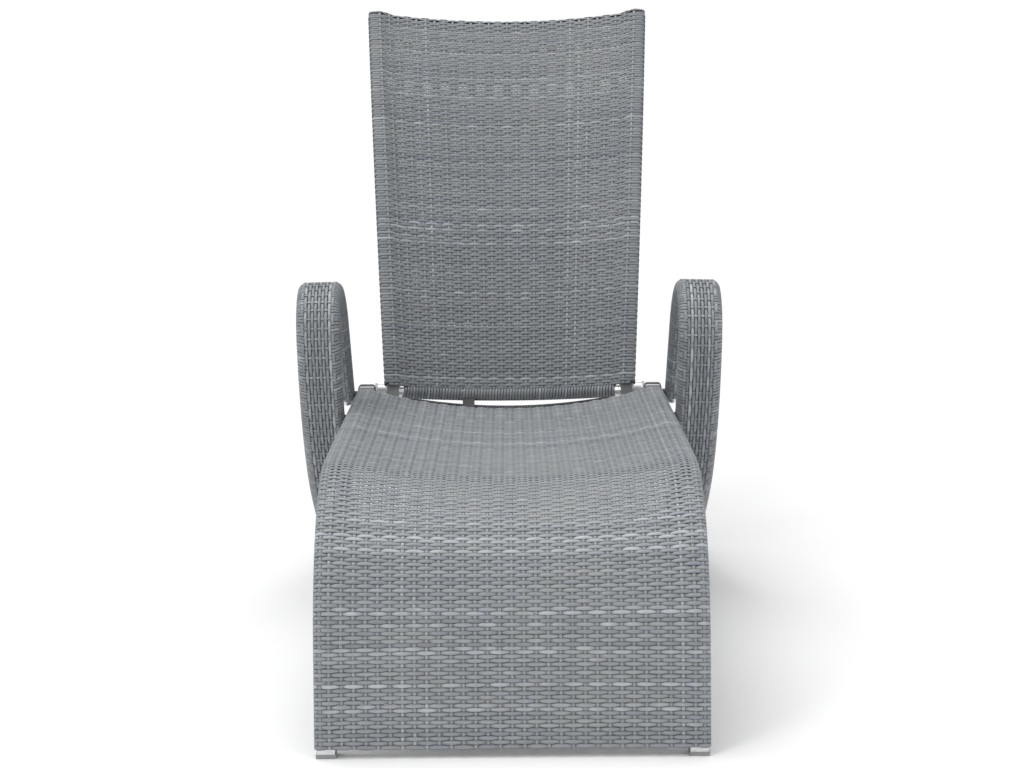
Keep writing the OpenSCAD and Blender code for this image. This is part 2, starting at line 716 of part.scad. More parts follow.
// solid lugs on the feet of the side tubes, each carrying its screwed-in pivot bolt
bolt_depth = 16;
module back_lugs() {
    color("silver") difference() {
        lug_blocks(0);
        both_sides() rod_x(lug_out - bolt_depth, lug_out + 1, pivot_reach, pivot_height, pin_dia);
    }
}
module pivot_bolts() {
    color("dimgray") both_sides() {
        rod_x(lug_out - bolt_depth, rail_in + washer_play, pivot_reach, pivot_height, pin_dia);
        rod_x(rail_in + washer_play, rail_in + washer_play + bolt_head_thick, pivot_reach,
            pivot_height, bolt_head_dia);
    }
}
function back_half(s, grow = 0) = back_tube_x - (back_tube / 2 + grow) / cos(back_splay)
    + back_radius * sin(s / back_radius * 180 / PI) * tan(back_splay);
module back_cross_solid(s, wall) {
    on_back(s) translate([0, 0, back_cross_depth])
        bowed(back_half(s) + 12, back_hollow, back_cross_dia, wall);
}
module back_cross(s) {
    difference() {
        back_cross_solid(s, tube_wall);
        both_sides() along_back() translate([50 - back_tube / 2, 0]) square([100, 200], center = true);
    }
}
module back_top_tube() {
    color("silver") back_cross(back_top_at);
}
module back_upper_tube() { color("silver") back_cross(back_upper_at); }
module back_lower_tube() { color("silver") back_cross(back_lower_at); }
module back_bottom_tube() {
    color("silver") on_back(back_bottom_at) bowed(lug_in, back_hollow, back_cross_dia, tube_wall);
}
bottom_wrap = 2.5;
module back_bottom_wrap() {
    color("dimgray") difference() {
        on_back(back_bottom_at) intersection() {
            bowed(lug_in, back_hollow, back_cross_dia + 2 * bottom_wrap, bottom_wrap);
            cube([2 * (lug_in - 6), 200, 200], center = true);
        }
        lever_plate(lever_wide + 2 * gap);
    }
}

back_rows = 16;
back_cols = 12;
function back_sheet_point(i, j, side) =
    let (s = back_weave_start + (back_weave_stop - back_weave_start) * i / back_rows,
        v = 2 * j / back_cols - 1, t = back_turn - s / back_radius * 180 / PI, p = back_point(s),
        d = back_weave_depth - back_hollow * (1 - v * v) + side)
    [back_half(s, back_wrap) * v, p[0] - d * sin(t), p[1] + d * cos(t)];
module back_weave() {
    color("gray") polyhedron([for (side = [weave_thick / 2, -weave_thick / 2], i = [0:back_rows],
        j = [0:back_cols]) back_sheet_point(i, j, side)], sheet_faces(back_rows, back_cols));
}

// forked lever under the backrest that works the strut
lever_round = 11;
lever_neck = 38;
lever_grip = 3;
lever_bow = back_hollow * (1 - pow(strut_offset / lug_in, 2));
lever_seat = back_point(back_bottom_at) + lever_bow * [cos(back_lean), -sin(back_lean)];
module lever_plate(wide) {
    translate([lever_x - wide / 2, 0, 0]) rotate([90, 0, 90]) linear_extrude(wide) {
        translate([pivot_reach, pin_b_z]) circle(lever_round);
        polygon([[pivot_reach - lever_round, pin_b_z], [pivot_reach + lever_round, pin_b_z],
            [pivot_reach + lever_round - 1, pivot_height - lever_neck],
            lever_seat + [back_cross_dia / 2, -lever_grip], lever_seat + [-back_cross_dia / 2, -lever_grip],
            [pivot_reach - lever_round + 1, pivot_height - lever_neck]]);
    }
}
module strut_lever() {
    color("black") difference() {
        lever_plate(lever_wide);
        translate([lever_x - lever_wide / 2 + cheek, pivot_reach - 100, pin_b_z - 30])
            cube([lever_wide - 2 * cheek, 200, 30 + eye_radius + 8]);
        on_back(back_bottom_at) bowed(lug_in, back_hollow, back_cross_dia, 0);
        rod_x(lever_x - lever_wide, lever_x + lever_wide, pivot_reach, pin_b_z, pin_dia);
    }
}
module lever_pin() {
    half = lever_wide / 2;
    color("silver") {
        rod_x(lever_x - half, lever_x + half, pivot_reach, pin_b_z, pin_dia);
        for (x = [-half - pin_head, half])
            rod_x(lever_x + x, lever_x + x + pin_head, pivot_reach, pin_b_z, pin_dia + 4);
    }
}

// ---- gas strut ----

module rod_head() {
    color("black") difference() {
        translate([lever_x - strut_wide / 2, 0, 0]) rotate([90, 0, 90]) linear_extrude(strut_wide) {
            translate(pin_a) circle(9);
            translate([pin_a[0] - 9, pin_b_z - 7]) square([rod_front - pin_a[0] + 9, 14]);
            translate([pin_a[0] - 9, pin_b_z]) square([18, strut_drop]);
        }
        rod_x(lever_x - lever_wide, lever_x + lever_wide, pin_a[0], pin_a[1], pin_dia + 2 * running);
        rod_y(pin_a[0] - 10, rod_front - 2, lever_x, pin_b_z, valve_dia + 2 * running);
    }
}
module strut_rod() {
    color("silver") rod_y(rod_front, rod_back, lever_x, pin_b_z, rod_dia);
}
module strut_piston() {
    color("black") rod_y(rod_back, rod_back + piston_long, lever_x, pin_b_z,
        cylinder_dia - 2 * cylinder_wall - 2 * running);
}
module strut_cylinder() {
    color("black") difference() {
        rod_y(cylinder_back - cylinder_long, cylinder_back, lever_x, pin_b_z, cylinder_dia);
        rod_y(cylinder_back - cylinder_long - 1, cylinder_back - 4, lever_x, pin_b_z,
            cylinder_dia - 2 * cylinder_wall);
    }
}
module cylinder_gland() {
    color("dimgray") difference() {
        rod_y(cylinder_back - cylinder_long, cylinder_back - cylinder_long + gland_long, lever_x,
            pin_b_z, cylinder_dia - 2 * cylinder_wall);
        rod_y(cylinder_back - cylinder_long - 1, cylinder_back - cylinder_long + gland_long + 1,
            lever_x, pin_b_z, rod_dia + 2 * running);
    }
}
module cylinder_eye() {
    color("black") difference() {
        union() {
            rod_x(lever_x - strut_wide / 2, lever_x + strut_wide / 2, pivot_reach, pin_b_z,
                2 * eye_radius);
            rod_y(cylinder_back, pivot_reach, lever_x, pin_b_z, strut_wide - 2);
        }
        rod_x(lever_x - lever_wide, lever_x + lever_wide, pivot_reach, pin_b_z,
            pin_dia + 2 * open_fit);
    }
}

// ---- release ----

valve_travel = 3;
module valve_pin() {
    color("silver") {
        rod_y(valve_tip + valve_dia / 2, rod_front - 2 - valve_travel - 1, lever_x, pin_b_z, valve_dia);
        translate([lever_x, valve_tip + valve_dia / 2, pin_b_z]) sphere(d = valve_dia);
    }
}
module release_shaft() {
    color("dimgray") rod_x(-clip_x - 16, lever_x + lever_wide / 2 + 4, release_y, release_z, shaft_dia);
}
module release_finger() {
    color("dimgray") difference() {
        union() {
            rod_x(lever_x - 5, lever_x + 5, release_y, release_z, shaft_dia + 6);
            translate([lever_x - 4, release_y + 2.4 - finger_thick, pin_b_z - 5])
                cube([8, finger_thick, strut_drop]);
        }
        rod_x(lever_x - 6, lever_x + 6, release_y, release_z, shaft_dia);
    }
}
module release_grip() {
    color("black") difference() {
        translate([-clip_x - 16, 0, 0]) rotate([90, 0, 90]) linear_extrude(12) {
            translate([release_y, release_z]) circle(8);
            translate([release_y, release_z]) rotate(-8) translate([0, -5]) square([grip_long, 10]);
            translate([release_y, release_z]) rotate(-8) translate([grip_long, 0]) circle(7);
        }
        rod_x(-clip_x - 20, -clip_x, release_y, release_z, shaft_dia);
    }
}

// ---- everything, with its middle over the origin ----

translate([0, -mid_y, 0]) {
    left_rail();
    right_rail();
    left_rail_wrap();
    right_rail_wrap();
    rail_end_plugs();
    foot_cross_tube();
    knee_cross_tube();
    mid_cross_tube();
    seat_rear_tube();
    rear_tube_wrap();
    seat_weave();
    front_foot_caps();
    hinge_tabs();
    hinge_bosses();
    hinge_tube();
    hinge_tube_wrap();
    pivot_washers();
    pivot_bushes();
    left_arm_tubes();
    right_arm_tubes();
    left_arm_ribs();
    right_arm_ribs();
    left_arm_weave();
    right_arm_weave();
    arm_bolts();
    arm_spacers();
    rear_foot_pads();
    leg_stretcher();
    strut_bracket();
    strut_pin();
    release_clip();
    left_back_tube();
    right_back_tube();
    back_lugs();
    pivot_bolts();
    back_top_tube();
    back_upper_tube();
    back_lower_tube();
    back_bottom_tube();
    back_bottom_wrap();
    left_back_wrap();
    right_back_wrap();
    back_weave();
    strut_lever();
    lever_pin();
    strut_rod();
    rod_head();
    strut_piston();
    strut_cylinder();
    cylinder_gland();
    cylinder_eye();
    valve_pin();
    release_shaft();
    release_finger();
    release_grip();
}
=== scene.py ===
import math
import bpy
import numpy as np
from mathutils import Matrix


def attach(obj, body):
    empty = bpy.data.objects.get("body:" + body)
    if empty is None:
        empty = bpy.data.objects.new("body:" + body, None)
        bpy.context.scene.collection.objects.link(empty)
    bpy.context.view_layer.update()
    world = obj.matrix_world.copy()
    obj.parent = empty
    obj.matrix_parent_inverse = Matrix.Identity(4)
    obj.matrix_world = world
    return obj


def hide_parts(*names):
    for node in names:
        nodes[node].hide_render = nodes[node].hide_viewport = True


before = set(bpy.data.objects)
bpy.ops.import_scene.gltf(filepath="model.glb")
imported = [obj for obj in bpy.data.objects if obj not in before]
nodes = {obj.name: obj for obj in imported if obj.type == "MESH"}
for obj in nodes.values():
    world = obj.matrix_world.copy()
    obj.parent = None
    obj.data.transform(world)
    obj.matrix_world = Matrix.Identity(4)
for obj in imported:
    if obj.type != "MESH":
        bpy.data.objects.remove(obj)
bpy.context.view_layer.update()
rng = np.random.default_rng(41)

# ---- Camera, floor and light ----
# The lounger stands on a pale seamless floor, seen straight from its foot end and a little from
# above, under big soft lamps with the stronger one at the upper left.
MIDDLE = 822.565                # the box's middle, in mm behind the toe of the leg rest
camera = bpy.data.objects.new("camera", bpy.data.cameras.new("camera"))
bpy.context.scene.collection.objects.link(camera)
camera.data.sensor_width = 36.0
camera.data.lens = 83.1
camera.data.clip_end = 200.0
camera.location = (0.0, -3.184 - MIDDLE / 1000, 1.10)
camera.rotation_euler = (math.radians(79.94), math.radians(0.45), math.radians(-0.135))
bpy.context.scene.camera = camera
bpy.context.scene.view_settings.view_transform = "Standard"

floor_mesh = bpy.data.meshes.new("floor")
FLOOR_HALF = 130.0              # m, so that its far edge stays above the picture
corners = [(-FLOOR_HALF, -FLOOR_HALF, 0), (FLOOR_HALF, -FLOOR_HALF, 0),
           (FLOOR_HALF, FLOOR_HALF, 0), (-FLOOR_HALF, FLOOR_HALF, 0)]
floor_mesh.from_pydata(corners, [], [(0, 1, 2, 3)])
floor = bpy.data.objects.new("floor", floor_mesh)
bpy.context.scene.collection.objects.link(floor)
floor_paint = bpy.data.materials.new("floor_paint")
floor_paint.use_nodes = True
floor_shader = floor_paint.node_tree.nodes["Principled BSDF"]
floor_shader.inputs["Base Color"].default_value = (0.93, 0.93, 0.93, 1)
floor_shader.inputs["Roughness"].default_value = 0.9
floor_mesh.materials.append(floor_paint)

world = bpy.data.worlds.new("studio")
world.use_nodes = True
world.node_tree.nodes["Background"].inputs["Color"].default_value = (1.0, 1.0, 1.0, 1)
world.node_tree.nodes["Background"].inputs["Strength"].default_value = 0.58
bpy.context.scene.world = world


def lamp(name, place, size, watts, aim):
    """A square soft lamp of the given size that looks at a point."""
    light = bpy.data.lights.new(name, "AREA")
    light.size, light.energy = size, watts
    ob = bpy.data.objects.new(name, light)
    bpy.context.scene.collection.objects.link(ob)
    ob.location = place
    way = np.array(aim) - np.array(place)
    flat = math.hypot(way[0], way[1])
    ob.rotation_euler = (math.atan2(flat, -way[2]), 0, math.atan2(way[1], way[0]) - math.pi / 2)


lamp("key", (-2.2, -3.0, 3.2), 1.2, 34, (0, 0.2, 0.4))
lamp("fill", (3.0, -2.2, 2.2), 2.4, 8, (0, 0.2, 0.4))
overhead = bpy.data.objects.new("overhead", bpy.data.lights.new("overhead", "SUN"))
bpy.context.scene.collection.objects.link(overhead)
overhead.data.energy = 1.7
overhead.data.angle = math.radians(50)
overhead.rotation_euler = (math.radians(-8), math.radians(-10), 0)


# ---- Woven seat with its leg rest ----
# One panel of flat plastic rattan. Dense strands run across, in at the rails, right round them
# and back, over and under narrow lengthwise stakes. The weaver pulls each row tight against the
# last, and every coil of strand is a slightly different grey.
ROW = 5.74                      # mm from row to row
STAKE = 17.2                    # mm from stake to stake
SEAT_FALL = math.radians(2.6)
FOOT_TURN = math.radians(83.0)
KNEE_RADIUS = 253.0
KNEE_HEIGHT = 372.0
FOOT_RUN = (KNEE_HEIGHT - KNEE_RADIUS * (1 - math.cos(FOOT_TURN))) / math.sin(FOOT_TURN)
KNEE_RUN = KNEE_RADIUS * (FOOT_TURN + SEAT_FALL)
RAIL_X = 263.5
PANEL_END = 1321.0
SEAT_SAG = 34.0


def seat_line(s):
    """The rail's top line at a run s: straight up the leg rest, round the knee's arc as radius
    times the turn so far, then straight back. Returns place (y, z) and heading."""
    turn = np.clip(FOOT_TURN - (s - FOOT_RUN) / KNEE_RADIUS, -SEAT_FALL, FOOT_TURN)
    first, last = np.minimum(s, FOOT_RUN), np.maximum(s - FOOT_RUN - KNEE_RUN, 0)
    y = first * math.cos(FOOT_TURN) + KNEE_RADIUS * (math.sin(FOOT_TURN) - np.sin(turn))
    z = first * math.sin(FOOT_TURN) + KNEE_RADIUS * (np.cos(turn) - math.cos(FOOT_TURN))
    return y + last * np.cos(turn), z + last * np.sin(turn), turn


def on_seat(x, s, depth):
    """Points at side x, run s and depth under the rail's top line, with the upward normal."""
    y, z, turn = seat_line(s)
    x, y, z, turn, depth = np.broadcast_arrays(x, y, z, turn, depth)
    up = np.stack([np.zeros_like(turn), -np.sin(turn), np.cos(turn)], -1)
    return np.stack([x, y, z], -1) - up * depth[..., None], up


def wave(phase):
    """A weave's rise and fall: a cosine with flattened tops, steep where it dives."""
    c = np.cos(phase)
    return np.sign(c) * np.abs(c) ** 0.65


RING = np.array([(-1, 0), (-0.62, 0.8), (0.62, 0.8), (1, 0), (0.55, -0.7), (-0.55, -0.7)])


def strands(name, path, up, half, thick, tone, body, stands_for, material):
    """Flat domed strands as one mesh. Each path is swept with a six-point section, wide along the
    cross product of its tangent and the surface normal and high along that normal; both ends
    are closed. tone is one grey per strand."""
    path, up = np.asarray(path, float), np.asarray(up, float)
    count, length = path.shape[:2]
    half = np.broadcast_to(half, (count, length))
    thick = np.broadcast_to(thick, (count, length))
    step = np.gradient(path, axis=1)
    step /= np.linalg.norm(step, axis=2, keepdims=True)
    side = np.cross(step, up)
    side /= np.linalg.norm(side, axis=2, keepdims=True)
    rise = np.cross(side, step)
    ring = (path[:, :, None] + side[:, :, None] * RING[:, 0, None] * half[..., None, None]
            + rise[:, :, None] * RING[:, 1, None] * (thick / 2)[..., None, None])
    points = ring.reshape(-1, 3) / 1000
    points[:, 1] -= MIDDLE / 1000
    k = len(RING)
    at = np.arange(count * length * k).reshape(count, length, k)
    quads = np.stack([at[:, :-1], np.roll(at, -1, 2)[:, :-1], np.roll(at, -1, 2)[:, 1:],
                      at[:, 1:]], -1).reshape(-1, 4)
    ends = np.concatenate([at[:, 0][:, ::-1], at[:, -1]]).reshape(-1, k)
    mesh = bpy.data.meshes.new(name)
    mesh.vertices.add(len(points))
    mesh.vertices.foreach_set("co", points.ravel())
    mesh.loops.add(quads.size + ends.size)
    mesh.loops.foreach_set("vertex_index", np.concatenate([quads.ravel(), ends.ravel()]))
    mesh.polygons.add(len(quads) + len(ends))
    starts = np.concatenate([np.arange(len(quads)) * 4, quads.size + np.arange(len(ends)) * k])
    mesh.polygons.foreach_set("loop_start", starts)
    mesh.polygons.foreach_set("use_smooth", np.r_[np.ones(len(quads)), np.zeros(len(ends))].astype(bool))
    mesh.update(calc_edges=True)
    run = np.concatenate([np.zeros((count, 1)), np.cumsum(
        np.linalg.norm(np.diff(path, axis=1), axis=2), 1)], 1) / 1000
    grain = np.empty((count, length, k, 3))
    grain[..., 0] = run[..., None]
    grain[..., 1] = RING[:, 0]
    grain[..., 2] = (rng.random(count) * 50)[:, None, None]
    mesh.attributes.new("grain", "FLOAT_VECTOR", "POINT").data.foreach_set(
        "vector", grain.astype(np.float32).ravel())
    mesh.attributes.new("tone", "FLOAT", "POINT").data.foreach_set(
        "value", np.repeat(np.asarray(tone, np.float32), length * k))
    ob = bpy.data.objects.new(name, mesh)
    bpy.context.scene.collection.objects.link(ob)
    mesh.materials.append(material)
    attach(ob, body)
    if stands_for:
        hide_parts(*stands_for)
    return ob


def tones(count):
    """One grey per strand: mostly middling, one in nine clearly paler, one in seven darker."""
    grey = rng.normal(0.5, 0.1, count)
    pick = rng.random(count)
    grey[pick < 0.11] = rng.uniform(0.78, 1.0, (pick < 0.11).sum())
    grey[pick > 0.86] = rng.uniform(0.12, 0.3, (pick > 0.86).sum())
    return np.clip(grey, 0, 1)


def group(name, inputs, outputs):
    """A new shader node group with the named sockets; returns it with its two end nodes."""
    made = bpy.data.node_groups.new(name, "ShaderNodeTree")
    for label, kind, value in inputs:
        made.interface.new_socket(label, in_out="INPUT", socket_type=kind).default_value = value
    for label, kind in outputs:
        made.interface.new_socket(label, in_out="OUTPUT", socket_type=kind)
    return made, made.nodes.new("NodeGroupInput"), made.nodes.new("NodeGroupOutput")


def add(tree, kind, links=(), **values):
    """A node of the kind, its sockets linked or set by name or number, its settings set."""
    node = tree.nodes.new("ShaderNode" + kind)
    for key, value in values.items():
        setattr(node, key, value)
    for key, value in dict(links).items():
        if isinstance(value, bpy.types.NodeSocket):
            tree.links.new(value, node.inputs[key])
        else:
            node.inputs[key].default_value = value
    return node


def ramp(tree, fac, *stops):
    """A colour ramp through (place, grey or colour) stops; returns its colour output."""
    node = add(tree, "ValToRGB", {"Fac": fac})
    band = node.color_ramp
    while len(band.elements) < len(stops):
        band.elements.new(0.5)
    for element, (place, colour) in zip(band.elements, stops):
        element.position = place
        rgb = (colour,) * 3 if isinstance(colour, (int, float)) else colour
        element.color = (*rgb, 1)
    return node.outputs["Color"]


def math_node(tree, how, a, b):
    """The output of a math node that takes a and b, each a socket or a number."""
    return add(tree, "Math", {0: a, 1: b}, operation=how).outputs[0]


def mixed(tree, how, factor, a, b):
    """Colour b laid over colour a by the blend and factor; returns the mixed colour output."""
    node = add(tree, "Mix", {}, data_type="RGBA", blend_type=how)
    for socket, value in ((node.inputs[0], factor), (node.inputs[6], a), (node.inputs[7], b)):
        if isinstance(value, bpy.types.NodeSocket):
            tree.links.new(value, socket)
        else:
            socket.default_value = value
    return node.outputs[2]


# Plastic rattan: streaked along its length, with cloudy changes of grey from coil to coil,
# painted shade that darkens each strand towards its edges so its crown reads paler, patches of dust and a
# faint lengthwise ribbing left by the die.
rattan, r_in, r_out = group(
    "rattan_strand",
    [("Tone", "NodeSocketFloat", 0.5), ("Grain", "NodeSocketVector", (0, 0, 0)),
     ("Base", "NodeSocketColor", (0.3, 0.32, 0.34, 1)), ("Dust", "NodeSocketFloat", 0.3)],
    [("Color", "NodeSocketColor"), ("Roughness", "NodeSocketFloat"), ("Height", "NodeSocketFloat")])
parts = add(rattan, "SeparateXYZ", {0: r_in.outputs["Grain"]}).outputs
cloud_at = add(rattan, "CombineXYZ", {0: math_node(rattan, "MULTIPLY", parts[0], 26.0),
                                      1: parts[2], 2: 0.0}).outputs[0]
cloud = add(rattan, "TexNoise", {"Vector": cloud_at, "Scale": 1.0, "Detail": 2.0}).outputs["Fac"]
streak_at = add(rattan, "CombineXYZ", {0: math_node(rattan, "MULTIPLY", parts[0], 60.0),
                                       1: math_node(rattan, "MULTIPLY", parts[1], 3.0),
                                       2: parts[2]}).outputs[0]
streak = add(rattan, "TexNoise", {"Vector": streak_at, "Scale": 1.6, "Detail": 4.0,
                                  "Roughness": 0.65}).outputs["Fac"]
greys = ramp(rattan, math_node(rattan, "ADD", math_node(rattan, "MULTIPLY", cloud, 0.55),
                               math_node(rattan, "MULTIPLY", r_in.outputs["Tone"], 0.5)),
             (0.2, (0.66, 0.67, 0.71)), (0.42, (0.86, 0.87, 0.89)), (0.55, (1.0, 1.0, 1.0)),
             (0.68, (1.14, 1.14, 1.14)), (0.86, (1.7, 1.71, 1.72)))
tint = ramp(rattan, add(rattan, "TexNoise", {"Vector": cloud_at, "Scale": 0.6, "Detail": 1.0},
                        noise_dimensions="3D").outputs["Fac"],
            (0.35, (0.98, 1.0, 0.99)), (0.52, (1.0, 1.0, 1.0)), (0.68, (0.96, 0.98, 1.04)))
colour = mixed(rattan, "MULTIPLY", 1.0, r_in.outputs["Base"], greys)
colour = mixed(rattan, "MULTIPLY", 1.0, colour, tint)
colour = mixed(rattan, "MULTIPLY", 1.0, colour,
               ramp(rattan, streak, (0.3, 0.84), (0.5, 1.0), (0.7, 1.13)))
# Painted shade: each strand is darkened towards its sides, to half at the rim, standing in for the shaded
# crevices between strands.
edge = math_node(rattan, "ABSOLUTE", parts[1], 0.0)
colour = mixed(rattan, "MULTIPLY", 1.0, colour, ramp(rattan, edge, (0.45, 1.0), (0.95, 0.5)))
place = add(rattan, "TexCoord").outputs["Object"]
grime = add(rattan, "TexNoise", {"Vector": place, "Scale": 5.0, "Detail": 5.0}).outputs["Fac"]
dusty = math_node(rattan, "MULTIPLY", ramp(rattan, grime, (0.48, 0.0), (0.75, 1.0)),
                  r_in.outputs["Dust"])
colour = mixed(rattan, "MIX", dusty, colour, (0.36, 0.36, 0.35, 1))
rattan.links.new(colour, r_out.inputs["Color"])
rough = math_node(rattan, "ADD", math_node(rattan, "MULTIPLY", streak, 0.28),
                  math_node(rattan, "MULTIPLY", dusty, 0.3))
rattan.links.new(math_node(rattan, "ADD", rough, 0.3), r_out.inputs["Roughness"])
rattan.links.new(streak, r_out.inputs["Height"])


def rattan_material(name, base, dust):
    """Rattan in one grey: the shared strand pattern over the given base grey, satin, lightly ribbed; the
    wound strand's grey is darker as painted shade.
    """
    made = bpy.data.materials.new(name)
    made.use_nodes = True
    tree = made.node_tree
    shader = tree.nodes["Principled BSDF"]
    strand = tree.nodes.new("ShaderNodeGroup")
    strand.node_tree = rattan
    tree.links.new(add(tree, "Attribute", attribute_name="tone").outputs["Fac"], strand.inputs["Tone"])
    tree.links.new(add(tree, "Attribute", attribute_name="grain").outputs["Vector"],
                   strand.inputs["Grain"])
    strand.inputs["Base"].default_value = (*base, 1)
    strand.inputs["Dust"].default_value = dust
    bump = add(tree, "Bump", {"Height": strand.outputs["Height"], "Strength": 0.35,
                              "Distance": 0.0004})
    tree.links.new(strand.outputs["Color"], shader.inputs["Base Color"])
    tree.links.new(strand.outputs["Roughness"], shader.inputs["Roughness"])
    tree.links.new(bump.outputs["Normal"], shader.inputs["Normal"])
    shader.inputs["IOR"].default_value = 1.46
    return made


seat_strand = rattan_material("seat_strand", (0.300, 0.314, 0.327), 0.25)
stake_strand = rattan_material("stake_strand", (0.29, 0.302, 0.313), 0.2)

# A row's way across, from under one rail, round its outside, over the panel and round the other.
STRAND = 6.3                    # mm wide
THICK = 2.6                     # mm thick
WEAVE = 1.2                     # mm that a row rises and dips
RAIL_OUT, RAIL_IN, RAIL_DEPTH = 279.0, 248.0, 28.5
FLAT_HALF = 274.1               # mm from the middle to where a row turns down round a rail
FIRST_ROW = 16.5                # mm up the leg rest to its first row
corner = 5.0
turn_round = np.linspace(0, math.pi / 2, 4)
across = np.arange(-274.0, FLAT_HALF, STAKE / 4)
edge_x = np.concatenate([[-RAIL_IN, -262.0], -RAIL_OUT + corner - corner * np.sin(turn_round),
                         [-RAIL_OUT], -RAIL_OUT + corner - corner * np.cos(turn_round[:-1])])
edge_d = np.concatenate([[RAIL_DEPTH, RAIL_DEPTH],
                         RAIL_DEPTH - corner + corner * np.cos(turn_round),
                         [14.0], corner - corner * np.sin(turn_round[:-1]) + 1.0])
row_x = np.concatenate([edge_x, across, -edge_x[::-1]])
flat_x = np.abs(row_x) <= FLAT_HALF
row_d = np.concatenate([edge_d, np.full(len(across), 1.0), edge_d[::-1]])
out_x = np.concatenate([[0, 0], -np.sin(turn_round), [-1], -np.cos(turn_round[:-1]),
                        np.zeros(len(across)), np.cos(turn_round[:-1])[::-1], [1],
                        np.sin(turn_round)[::-1], [0, 0]])
out_d = np.concatenate([[1, 1], np.cos(turn_round), [0], -np.sin(turn_round[:-1]),
                        -np.ones(len(across)), -np.sin(turn_round[:-1])[::-1], [0],
                        np.cos(turn_round)[::-1], [1, 1]])


def seat_drop(x, s):
    """How far the panel hangs below the rails: a shallow step inside each rail, then a sag that
    grows along the seat as one minus a square and falls off across as one minus a square."""
    v = np.clip(np.abs(x) / 247.0, 0, 1)
    step = 2.5 * (1 - np.clip((np.abs(x) - 232.0) / 24.0, 0, 1) ** 2)
    share = 1 - (1 - np.clip(s / PANEL_END, 0, 1)) ** 2
    return step * np.clip(s / 60, 0, 1) + SEAT_SAG * share * (1 - v * v)


rows = np.arange(FIRST_ROW, PANEL_END, ROW)
wander = rng.normal(0, 0.22, len(rows))
s = (rows + wander)[:, None] + 0.35 * np.sin(row_x / 61.0 + np.arange(len(rows))[:, None] * 0.9)
phase = math.pi * row_x / STAKE + math.pi * np.arange(len(rows))[:, None]
lift = np.where(flat_x, WEAVE * wave(phase), 0)
depth = row_d + np.where(flat_x, seat_drop(row_x, rows[:, None]), 0) - lift
place_xyz, up = on_seat(row_x[None], s, depth)
turn = seat_line(s)[2]
normal = np.stack([np.broadcast_to(out_x, turn.shape), np.sin(turn) * out_d,
                   -np.cos(turn) * out_d], -1)
half = STRAND / 2 * (1 + 0.1 * lift / WEAVE)      # a strand is pressed flatter where it lies on top
seat_tones = tones(len(rows))
thirds = np.array_split(np.arange(len(rows)), 3)
for part, (label, pick) in enumerate(zip(("leg_rest", "knee", "seat"), thirds)):
    strands(f"{label}_rows", place_xyz[pick], normal[pick], half[pick], THICK, seat_tones[pick],
            "frame", ("seat_weave", "left_rail_wrap", "right_rail_wrap") if part == 0 else (), seat_strand)

# The stakes: narrow strands that run from the toe to the back edge, through every row. The last
# one on each side lies on top of the rail.
EDGE_STAKE = 271.0
stake_x = np.concatenate([np.arange(-15, 16) * STAKE, [-EDGE_STAKE, EDGE_STAKE]])
stake_s = np.arange(14.0, PANEL_END + 1, ROW / 2)
parity = np.round(stake_x / STAKE)
stake_wave = -1.25 * np.cos(math.pi * ((stake_s[None] - FIRST_ROW) / ROW + parity[:, None]))
stake_depth = 1.0 + seat_drop(stake_x[:, None], stake_s[None]) - stake_wave
place_xyz, up = on_seat(stake_x[:, None], stake_s[None], stake_depth)
strands("seat_stakes", place_xyz, up, 3.0, 1.8, tones(len(stake_x)) * 0.7 + 0.3, "frame", (), stake_strand)


# ---- Wound ends of the seat rails and the tube behind the seat ----
# Past the panel each rail is wound turn by turn on its own, and bulges where the strands are
# tied off over its end. The bowed tube that the panel ends at is wound from rail to rail.
# Painted shade: the wound strand's grey is set darker than the woven panels', standing in for the shadow on
# the wound rail ends and bars.
wrap_strand_painted_shade = rattan_material("wrap_strand_painted_shade", (0.205, 0.216, 0.228), 0.2)
TURN = 5.5                      # mm from turn to turn
COIL_THICK = 1.5                # mm thick
COIL_HALF = TURN / 2 - 0.1      # mm, half a turn's width, just clear of the next one
COIL_LIFT = 1.8                 # mm from a bar's skin to the middle of its strand
RAIL_WIDE, RAIL_HIGH, RAIL_ROUND = 33.0, 29.0, 5.0
RAIL_TURNS_END, KNOT_RUN = 1379.5, 1361.0


def outline(wide, high, rounding, steps=5):
    """Once round a rectangle with rounded corners from its bottom middle: points and normals,
    each corner a quarter circle of the given radius."""
    a = np.concatenate([np.linspace(q, q + math.pi / 2, steps) for q in
                        np.arange(-0.5, 1.5, 0.5) * math.pi])
    cx = np.repeat([1, 1, -1, -1], steps) * (wide / 2 - rounding)
    cy = np.repeat([-1, 1, 1, -1], steps) * (high / 2 - rounding)
    points = np.stack([cx + rounding * np.cos(a), cy + rounding * np.sin(a)], 1)
    normals = np.stack([np.cos(a), np.sin(a)], 1)
    first, down = np.array([[0, -high / 2]]), np.array([[0, -1.0]])
    return np.concatenate([first, points, first]), np.concatenate([down, normals, down])


def turns(start, stop, count_points):
    """Runs for turns wound side by side from start to stop: each ends where the next begins."""
    begin = np.arange(start, stop - TURN / 2, TURN)
    return begin[:, None] + TURN * np.linspace(0, 1, count_points)[None]


shape, away = outline(RAIL_WIDE - COIL_THICK, RAIL_HIGH - COIL_THICK, RAIL_ROUND)
run = turns(PANEL_END + 1, RAIL_TURNS_END, len(shape))
mound = np.clip(shape[:, 1] / 13.5, 0, 1) * np.cos(2 * shape[:, 0] / RAIL_WIDE)
swell = 7.0 * np.exp(-((run - KNOT_RUN) / 13.0) ** 2) * mound
for side, hand in (("left", -1), ("right", 1)):
    place_xyz, up = on_seat(hand * (RAIL_X + shape[:, 0]), run, RAIL_HIGH / 2 - shape[:, 1] - swell)
    outward = up * away[:, 1, None] + np.array([hand, 0, 0]) * away[:, 0, None]
    strands(f"{side}_rail_end_turns", place_xyz, outward, COIL_HALF, COIL_THICK, tones(len(run)),
            "frame", (), wrap_strand_painted_shade)


